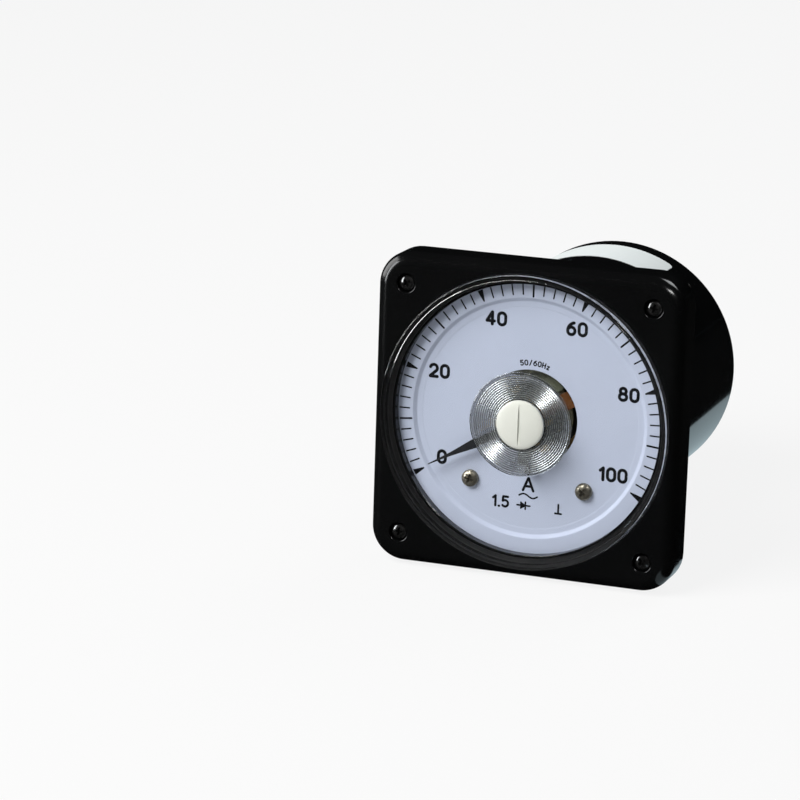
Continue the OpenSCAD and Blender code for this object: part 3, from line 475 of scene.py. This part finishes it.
# %% Rounding the bends of a section
def rounded(points, radius, steps=5):
    """Cuts each inner corner of an open section back by radius and bends it."""
    result = [points[0]]
    for before, here, after in zip(points, points[1:], points[2:]):
        p, q, r = (Vector((*c, 0)) for c in (before, here, after))
        reach = min(radius, (p - q).length * 0.49, (r - q).length * 0.49)
        start, end = q + (p - q).normalized() * reach, q + (r - q).normalized() * reach
        for i in range(steps + 1):
            t = i / steps
            spot = start * (1 - t) ** 2 + q * 2 * t * (1 - t) + end * t ** 2
            result.append((spot.x, spot.y))
    return result + [points[-1]]


# %% Dial sheet
dial_low, dial_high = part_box("dial_plate")
BAND = dial_low.y / MM
DISH = BAND + 1.1
SHEET = 0.8
DIAL_R = dial_high.x / MM
SLOPE = [(17.284, DISH), (39.0, DISH), (39.4, DISH - 0.08),
         (41.2, DISH - 0.12), (42.4, BAND), (DIAL_R, BAND)]
front = rounded(SLOPE, 0.3)
rear = [(r, y + SHEET) for r, y in reversed(front)]
dial = turned("dial_face", front + rear + [front[0]], 192)
enamel = Finish("dial_enamel")
where = enamel.place()
mottle = enamel.noise(where, 0.02)
grain = enamel.noise(where, 0.0006, 2)
tone = enamel.blend(mottle, (0.50, 0.545, 0.66), (0.53, 0.572, 0.69))
dial_enamel = enamel.surface(
    Base_Color=tone, Roughness=0.42 + 0.1 * mottle, Specular_IOR_Level=0.35,
    Normal=enamel.bump(grain, 0.000008))
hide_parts("dial_plate")
finished(dial, "case", dial_enamel, 40)

# %% [markdown]
# ## Figures and signs
# The figures are printed in black with round-ended strokes, like those of an engraving
# machine. A font would give them square ends and feet, so each is drawn as a few strokes:
# a curve with a round section whose radius falls to nothing at both ends, pressed flat.

# %% Strokes of each sign, on a body one unit high
SIGNS = {
    "0": (0.62, [arc(0.31, 0.69, 0.31, 0.31, 0, 180, 10) + arc(0.31, 0.31, 0.31, 0.31, 180, 360, 10)
                 + [(0.62, 0.69)]]),
    "1": (0.30, [[(0.02, 0.78), (0.26, 0.98)], [(0.27, 1.0), (0.27, 0.0)]]),
    "2": (0.62, [arc(0.31, 0.70, 0.30, 0.30, 165, -38, 12) + [(0.02, 0.03)],
                 [(0.01, 0.0), (0.62, 0.0)]]),
    "4": (0.64, [[(0.46, 0.0), (0.46, 1.0)], [(0.44, 0.99), (0.01, 0.27)],
                 [(0.0, 0.26), (0.64, 0.26)]]),
    "5": (0.60, [[(0.56, 1.0), (0.09, 1.0)], [(0.08, 0.99), (0.04, 0.56)],
                 [(0.04, 0.56)] + arc(0.27, 0.32, 0.32, 0.32, 118, -140, 14)]),
    "6": (0.62, [arc(0.31, 0.31, 0.31, 0.31, 0, 360, 18),
                 arc(0.66, 0.31, 0.66, 0.69, 180, 102, 8)]),
    "8": (0.62, [arc(0.31, 0.76, 0.25, 0.24, -90, 270, 16),
                 arc(0.31, 0.27, 0.31, 0.27, -90, 270, 18)]),
    "A": (0.84, [[(0.0, 0.0), (0.41, 1.0)], [(0.43, 1.0), (0.84, 0.0)],
                 [(0.15, 0.34), (0.69, 0.34)]]),
    "~": (1.0, [[(i / 16, 0.105 * math.sin(math.tau * i / 16)) for i in range(17)]]),
    ".": (0.04, [[(0.0, 0.0), (0.04, 0.0)]]),
    "H": (0.62, [[(0.0, 0.0), (0.0, 1.0)], [(0.62, 0.0), (0.62, 1.0)],
                 [(0.0, 0.5), (0.62, 0.5)]]),
    "z": (0.45, [[(0.0, 0.66), (0.45, 0.66)], [(0.45, 0.65), (0.0, 0.01)],
                 [(0.0, 0.0), (0.45, 0.0)]]),
    "/": (0.42, [[(0.0, -0.05), (0.42, 1.05)]]),
    "T": (0.7, [[(0.35, 0.0), (0.35, 1.0)], [(0.0, 0.0), (0.7, 0.0)]]),
    ">": (1.0, [[(-0.55, 0.5), (0.0, 0.5)], [(0.62, 0.5), (1.25, 0.5)],
                [(0.62, 0.02), (0.62, 0.98)]]
          + [[(0.0, 0.5 - h), (0.0, 0.5 - h * 0.9), (0.60, 0.5)] for h in
             (-0.4, -0.3, -0.2, -0.1, 0.0, 0.1, 0.2, 0.3, 0.4)]),
}


def laid(text, height, gap):
    """Strokes of a text on a line, centred, with all sizes in millimetres."""
    strokes, x = [], 0.0
    for sign in text:
        width, lines = SIGNS[sign]
        strokes += [[(x + a * height, b * height) for a, b in line] for line in lines]
        x += width * height + gap
    middle = (x - gap) / 2
    return [[(a - middle, b - height / 2) for a, b in line] for line in strokes]


print(len(SIGNS), "signs drawn")

# %% Height of the dial sheet at any radius
def sheet_front(radius):
    """The y of the dial's front in millimetres, on the dish, the slope or the band."""
    for (ra, ya), (rb, yb) in zip(front, front[1:]):
        if ra <= radius <= rb and rb > ra:
            return ya + (yb - ya) * (radius - ra) / (rb - ra)
    return DISH


print("dial front at 41 mm:", round(sheet_front(41), 3))

# %% Printing the strokes on the dial
def printed(name, jobs, finish):
    """One mesh of flat ink from (strokes, x, z, turn, pen width) jobs, laid on the dial."""
    shape = bpy.data.curves.new(name, "CURVE")
    shape.dimensions = "3D"
    shape.bevel_depth = 1.0
    shape.bevel_resolution = 2
    for strokes, x, z, turn, pen in jobs:
        c, s = math.cos(turn), math.sin(turn)
        for line in strokes:
            path = [Vector((x + a * c + b * s, z - a * s + b * c)) for a, b in line]
            first = (path[0] - path[1]).normalized()
            last = (path[-1] - path[-2]).normalized()
            caps = ((1.0, 0.02), (0.92, 0.39), (0.7, 0.71), (0.38, 0.92))
            run = ([(path[0] + first * pen * k / 2, w) for k, w in caps]
                   + [(p, 1.0) for p in path]
                   + [(path[-1] + last * pen * k / 2, w) for k, w in reversed(caps)])
            spline = shape.splines.new("POLY")
            spline.points.add(len(run) - 1)
            for point, (spot, width) in zip(spline.points, run):
                point.co = (spot.x * MM, 0, spot.y * MM, 1)
                point.radius = width * pen / 2 * MM
    made = bpy.data.objects.new(name, shape)
    bpy.context.scene.collection.objects.link(made)
    plain_select(made)
    bpy.ops.object.convert(target="MESH")
    made = bpy.context.object
    made.scale = (1, 0.05, 1)
    bpy.ops.object.transform_apply(location=True, rotation=True, scale=True)
    for vertex in made.data.vertices:
        radius = math.hypot(vertex.co.x, vertex.co.z) / MM
        vertex.co.y += (sheet_front(radius) - 0.01) * MM
    bpy.ops.object.mode_set(mode="EDIT")
    bpy.ops.mesh.select_all(action="SELECT")
    bpy.ops.mesh.remove_doubles(threshold=0.000004)
    bpy.ops.mesh.normals_make_consistent(inside=False)
    bpy.ops.object.mode_set(mode="OBJECT")
    finished(made, "case", finish, 60)
    return made


def ink(name, tone=0.0022):
    f = Finish(name)
    patch = f.noise(f.place(), 0.0015)
    return f.surface(Base_Color=f.blend(patch, (tone, tone, tone * 1.3),
                                        (tone * 2.2, tone * 2.2, tone * 2.8)),
                     Roughness=0.35 + 0.15 * patch, Specular_IOR_Level=0.18)


black_ink = ink("black_ink")
ARCH_R = 19.7
printed("dial_figures", [
    (laid(text, 4.2, 1.45), x, z, 0, 1.13) for text, x, z in (
        ("0", -31.5, -17.3), ("20", -33.5, 13.2), ("40", -13.4, 33.9), ("60", 15.7, 33.1),
        ("80", 35.1, 12.2), ("100", 30.8, -16.5))], black_ink)
printed("dial_signs", [
    (laid("A", 4.45, 0), 0.5, -23.5, 0, 0.92),
    (laid("~", 6.6, 0), 0.6, -24.35, 0, 0.6),
    (laid("1.5", 3.55, 1.15), -9.4, -30.6, 0, 0.86),
    (laid(">", 2.6, 0), -0.6, -31.2, 0, 0.62),
    (laid("T", 3.2, 0), 11.7, -31.0, 0, 0.7)] + [
    (laid(sign, 1.65, 0), ARCH_R * math.sin(t), ARCH_R * math.cos(t), t, 0.44)
    for sign, t in ((c, math.radians(-10.4 + 4.7 * i)) for i, c in enumerate("50/60Hz"))],
    black_ink)
ZERO, SWEEP, DIVISIONS = math.radians(-120), math.radians(240), 50
OUTER, INNER = 47.4, 43.3
FAN_PEN, HALF_PEN, MARK_PEN = 0.34, 0.68, 0.54
marks = []
for i in range(DIVISIONS + 1):
    turn = ZERO + SWEEP * i / DIVISIONS
    if i % 10 == 0:
        fan = [[(k * 0.02, INNER + 0.1), (k * 0.17, OUTER - 0.15)] for k in range(-5, 6)]
        marks.append((fan, 0, 0, turn, FAN_PEN))
    elif i % 5 == 0:
        marks.append(([[(0, INNER - 0.3), (0, OUTER - 0.25)]], 0, 0, turn, HALF_PEN))
    else:
        marks.append(([[(0, INNER + 0.35), (0, OUTER - 0.3)]], 0, 0, turn, MARK_PEN))
scale_marks = printed("scale_marks", marks, black_ink)
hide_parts("dial_scale")

# %% [markdown]
# ## Window
# The window is one clear moulding: a thick flat front with a rounded rim, a wall that stands in
# the bezel's seat, and a disc of fine ribs round the adjuster that hides the movement.
# Its shader refracts, so the rounded rim bends what lies round and behind it. Lamps would be
# stopped by that, so shadow and diffuse rays pass straight through. The silver look of the disc
# comes mostly from a metallic sheen mixed over the refraction on the ribs, with painted shade in
# its grooves.

# %% Clear moulding
window_low, window_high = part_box("window")
TOP = window_low.y / MM
FOOT = window_high.y / MM
WIN_R = window_high.x / MM
RIBS = TOP + 0.4
HOLE_R, WALL, EDGE_R = 2.05, 1.6, 0.7
CAP_R, RIBBED_R, RIB_DEPTH = 8.55, 18.1, 0.3
first_rib, pitch = CAP_R + 0.6, 0.74
count = int((RIBBED_R - 0.1 - first_rib) / pitch)
ribs = []
for i in range(count):
    ribs += [(first_rib + (i + k / 6) * pitch,
              RIBS + RIB_DEPTH / 2 * (1 - math.cos(math.tau * k / 6))) for k in range(6)]
section = ([(HOLE_R, TOP + 2.6), (HOLE_R, RIBS)] + ribs
           + [(first_rib + count * pitch, RIBS), (RIBBED_R, RIBS), (18.25, TOP)]
           + arc(WIN_R - EDGE_R, TOP + EDGE_R, EDGE_R, EDGE_R, -90, 0, 8)
           + [(WIN_R, FOOT), (WIN_R - WALL, FOOT)]
           + arc(WIN_R - WALL - 0.5, TOP + 3.1, 0.5, 0.5, 0, -90, 6))
window = turned("clear_window", section + [section[0]], 192)

clear = Finish("clear_window")
where = clear.place()
wave = clear.noise(where, 0.02, 1)
bend = clear.node("ShaderNodeBsdfPrincipled", {}, {
    "Base Color": clear.blend(wave, (0.985, 0.992, 1.0), (1.0, 1.0, 1.0)),
    "Roughness": 0.0, "IOR": 1.49, "Transmission Weight": 1.0})
through = clear.node("ShaderNodeBsdfTransparent", {}, {"Color": (0.96, 0.97, 0.985, 1)})
shadow_ray = clear.node("ShaderNodeLightPath", {}, {}, "Is Shadow Ray")
diffuse_ray = clear.node("ShaderNodeLightPath", {}, {}, "Is Diffuse Ray")
flat = clear.node("ShaderNodeVectorMath", {"operation": "MULTIPLY"}, (where, (1, 0, 1)))
radius = clear.node("ShaderNodeVectorMath", {"operation": "LENGTH"}, (flat,), "Value")
depth = clear.node("ShaderNodeSeparateXYZ", {}, (where,), "Y")
on_ribs = ((18.15 * MM - radius).ramp(0, 0.05 * MM)
           * ((RIBS + 0.6) * MM - depth).ramp(0, 0.1 * MM))
frost = clear.noise(where, 0.006)
turns = (radius - first_rib * MM) * (math.tau / (pitch * MM))
# Painted shade: the sheen's colour turns dark in each groove between the ribs.
painted_groove_shade = (0.5 - 0.5 * clear.node("ShaderNodeMath", {"operation": "COSINE"}, (turns,))
          ).ramp(0.35, 0.85)
sheen = clear.node("ShaderNodeBsdfPrincipled", {}, {
    "Base Color": clear.blend(painted_groove_shade * 0.85, clear.blend(
        frost, (0.82, 0.88, 0.90), (0.96, 0.99, 1.0)), (0.06, 0.07, 0.08)),
    "Metallic": 0.9, "Roughness": 0.22 + 0.1 * frost})
moulded = clear.node("ShaderNodeMixShader", {}, {0: on_ribs * 0.7, 1: bend, 2: sheen})
clear.output(clear.node("ShaderNodeMixShader", {}, {
    0: clear.node("ShaderNodeMath", {"operation": "MAXIMUM"}, (shadow_ray, diffuse_ray)),
    1: moulded, 2: through}))
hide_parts("window")
finished(window, "case", clear.material, 45)

# %% [markdown]
# ## Cross-head screws
# The dial and the cover are held by screws with a domed head and a cross recess whose four arms
# get narrower towards the bottom. The head is turned; one tapered bar, made from a cube whose
# lower face is shrunk, cuts two arms, and the same bar turned by a quarter cuts the others.
# Each screw is modelled once and then copied to its places.

# %% One screw head
def cross_head(name, head_r, head_t, seat_y, tip_y, turn):
    """A screw along Y whose head sits on seat_y, with its cross turned by some degrees."""
    section = ([(0, tip_y), (1.2, tip_y), (1.5, tip_y - 0.4), (1.5, seat_y), (head_r, seat_y)]
               + arc(0, seat_y - head_t * 0.3, head_r, head_t * 0.7, 0, -90, 14))
    head = turned(name, section, 64)
    for angle in (turn, turn + 90):
        plain_select()
        bpy.ops.mesh.primitive_cube_add(size=1, location=(0, 0, 0))
        bar = bpy.context.object
        bar.scale = (head_r * 1.4 * MM, head_t * 1.1 * MM, head_r * 0.36 * MM)
        bpy.ops.object.transform_apply(location=True, rotation=True, scale=True)
        choose_edges(bar, lambda a, b: min(a.y, b.y) > 0)
        bpy.ops.transform.resize(value=(0.42, 1, 0.55))
        bpy.ops.object.mode_set(mode="OBJECT")
        bar.rotation_euler = (0, math.radians(angle), 0)
        bar.location = (0, (seat_y - head_t * 0.75) * MM, 0)
        bpy.ops.object.transform_apply(location=True, rotation=True, scale=True)
        plain_select(head)
        cut = head.modifiers.new("cross", "BOOLEAN")
        cut.operation, cut.object, cut.solver = "DIFFERENCE", bar, "EXACT"
        bpy.ops.object.modifier_apply(modifier=cut.name)
        bpy.data.objects.remove(bar)
    return head


def set_out(head, names, spots, finish, node):
    """Copies a screw to its spots, each copy with a mesh of its own."""
    for name, (x, z, turn) in zip(names, spots):
        plain_select(head)
        bpy.ops.object.duplicate()
        one = bpy.context.object
        one.name = name
        one.rotation_euler = (0, math.radians(turn), 0)
        one.location = (x * MM, 0, z * MM)
        bpy.ops.object.transform_apply(location=True, rotation=True, scale=True)
        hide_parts(node)
        finished(one, "case", finish, 35)
    bpy.data.objects.remove(head)


# %% [markdown]
# ## Finishes for the solids
# Every other piece keeps its CAD shape and only needs its finish. Most are metals, which differ
# in colour, in how dull they are and in the direction of their scratches, so one
# function makes them all from a few numbers. Its noise is as fine as the marks of the tool.

# %% One recipe for metal, one for plain stuff
def metal(name, pale, dark, rough=(0.25, 0.4), grain=0.0004, depth=0.000004,
          stretch=(1, 1, 1), shine=1.0):
    f = Finish(name)
    where = f.place(scale=stretch)
    cloud = f.noise(f.place(), 0.004)
    marks = f.noise(where, grain, 4)
    share = (cloud * 0.6 + marks * 0.4).ramp(0.3, 0.7)
    return f.surface(Base_Color=f.blend(share, dark, pale), Metallic=shine,
                     Roughness=rough[0] + (rough[1] - rough[0]) * marks,
                     Normal=f.bump(marks, depth))


def plain(name, pale, dark, rough=(0.4, 0.55), grain=0.0008, depth=0.00001, shine=0.4):
    f = Finish(name)
    where = f.place()
    cloud = f.noise(where, 0.006)
    marks = f.noise(where, grain, 3)
    return f.surface(Base_Color=f.blend(cloud * 0.5 + marks * 0.5, dark, pale),
                     Roughness=rough[0] + (rough[1] - rough[0]) * marks,
                     Specular_IOR_Level=shine, Normal=f.bump(marks, depth))


def wound(name, pale, dark, pitch):
    """Wire laid side by side: across the turns of a coil, a wave bumps the wire and also paints
    bright ridges and dark gaps, a painted highlight and painted shade.
    """
    f = Finish(name)
    where = f.place()
    worn = f.noise(where, 0.002, 3)
    # The wave's bands paint a highlight on each turn and shade between turns, besides bumping them.
    lines = f.node("ShaderNodeTexWave", {"bands_direction": "DIAGONAL"}, {
        "Vector": where, "Scale": 1 / pitch / 20, "Distortion": 1.5, "Detail": 2.0}, 1)
    share = lines * 0.7 + worn * 0.3
    return f.surface(Base_Color=f.blend(share, dark, pale), Roughness=0.18 + 0.15 * worn,
                     Specular_IOR_Level=0.8, Normal=f.bump(lines, 0.00005))


# The pale colour is the painted highlight on the turns, the dark one the painted shade between
# them.
winding = wound("enamelled_copper", (0.15, 0.056, 0.014), (0.028, 0.005, 0.003), 0.0009)
finishes = {
    "black_moulding": black_moulding,
    "gasket_rubber": plain("gasket_rubber", (0.006, 0.006, 0.006), (0.003, 0.003, 0.003),
                           (0.5, 0.7), shine=0.2),
    "blackened_steel": metal("blackened_steel", (0.24, 0.24, 0.24), (0.06, 0.06, 0.06),
                             (0.12, 0.24), shine=0.95),
    "plated_steel": metal("plated_steel", (0.70, 0.70, 0.66), (0.50, 0.49, 0.44)),
    "bronzed_steel": metal("bronzed_steel", (0.34, 0.31, 0.25), (0.11, 0.10, 0.07),
                           (0.16, 0.3), shine=0.7),
    "black_ink": black_ink,
    "pointer_black": plain("pointer_black", (0.010, 0.010, 0.012), (0.005, 0.005, 0.006),
                           (0.35, 0.5), shine=0.4),
    "brass": metal("brass", (0.80, 0.60, 0.27), (0.55, 0.38, 0.15)),
    "spring_bronze": metal("spring_bronze", (0.76, 0.55, 0.28), (0.52, 0.34, 0.15)),
    "aluminium": metal("aluminium", (0.80, 0.81, 0.82), (0.62, 0.63, 0.65)),
    "enamelled_copper": winding,
    "strap_copper": metal("strap_copper", (0.80, 0.43, 0.28), (0.55, 0.26, 0.15)),
    "bridge_metal": metal("bridge_metal", (0.62, 0.62, 0.60), (0.42, 0.42, 0.40)),
    "soft_iron": metal("soft_iron", (0.22, 0.21, 0.13), (0.10, 0.10, 0.06), (0.35, 0.55)),
    "cast_magnet": plain("cast_magnet", (0.07, 0.07, 0.075), (0.03, 0.03, 0.035), (0.5, 0.7),
                         depth=0.00004),
    "olive_plate": plain("olive_plate", (0.15, 0.155, 0.10), (0.09, 0.10, 0.065), (0.3, 0.45)),
    "cream_plastic": plain("cream_plastic", (0.70, 0.715, 0.66), (0.66, 0.675, 0.62),
                           (0.25, 0.35), grain=0.002, depth=0.000003),
    "label_paper": plain("label_paper", (0.80, 0.84, 0.84), (0.72, 0.77, 0.77), (0.4, 0.6),
                         grain=0.0005),
    "laminated_iron": metal("laminated_iron", (0.20, 0.20, 0.21), (0.07, 0.07, 0.075),
                            (0.4, 0.6), grain=0.0007, stretch=(8, 1, 8)),
    "board_laminate": plain("board_laminate", (0.42, 0.27, 0.10), (0.28, 0.16, 0.055)),
    "diode_black": plain("diode_black", (0.03, 0.03, 0.03), (0.015, 0.015, 0.015), (0.3, 0.4)),
}
print(len(finishes), "finishes")

# %% [markdown]
# ## Setting the screws out
# Two screws hold the dial on its dish and four hold the cover, one in each recess. Each is
# turned by an angle of its own, because a screwdriver leaves every cross another way round.

# %% Screws in their places
DIAL_SCREW_X, DIAL_SCREW_Z = 20.7, -23.6
DIAL_HEAD_R, DIAL_HEAD_T = 3.05, 2.2
COVER_HEAD_R, COVER_HEAD_T = 2.9, 2.0
low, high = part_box("dial_screws")
dial_screw = cross_head("dial_screw", DIAL_HEAD_R, DIAL_HEAD_T, DISH, high.y / MM, 0)
set_out(dial_screw, ("dial_screw_left", "dial_screw_right"),
        ((-DIAL_SCREW_X, DIAL_SCREW_Z, 20), (DIAL_SCREW_X, DIAL_SCREW_Z, 35)),
        finishes["bronzed_steel"], "dial_screws")
low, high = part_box("cover_screws")
cover_screw = cross_head("cover_screw", COVER_HEAD_R, COVER_HEAD_T,
                         low.y / MM + COVER_HEAD_T, high.y / MM, 0)
set_out(cover_screw, ("cover_screw_tr", "cover_screw_tl", "cover_screw_bl", "cover_screw_br"),
        ((SCREW_AT, SCREW_AT, 15), (-SCREW_AT, SCREW_AT, -35),
         (-SCREW_AT, -SCREW_AT, 5), (SCREW_AT, -SCREW_AT, 50)),
        finishes["blackened_steel"], "cover_screws")

# %% [markdown]
# ## Putting the finishes on
# The record says which stuff each solid is made of, so the finish is looked up by the
# name of the solid's slot instead of being listed a second time here. The slots of the
# window and the dial plate have no finish in the list, because both pieces were replaced above.

# %% Dress the solids
slot_of = {part["node"]: part["material_slot"] for part in frame["record"]["subparts"]}
dressed = 0
for name, solid in nodes.items():
    chosen = finishes.get(slot_of.get(name, ""), None)
    if chosen is not None:
        solid.data.materials.clear()
        solid.data.materials.append(case_moulding if name == "case_body" else chosen)
        dressed += 1
print(dressed, "solids dressed of", len(nodes))

# %% Colour management
bpy.context.scene.view_settings.view_transform = "Standard"
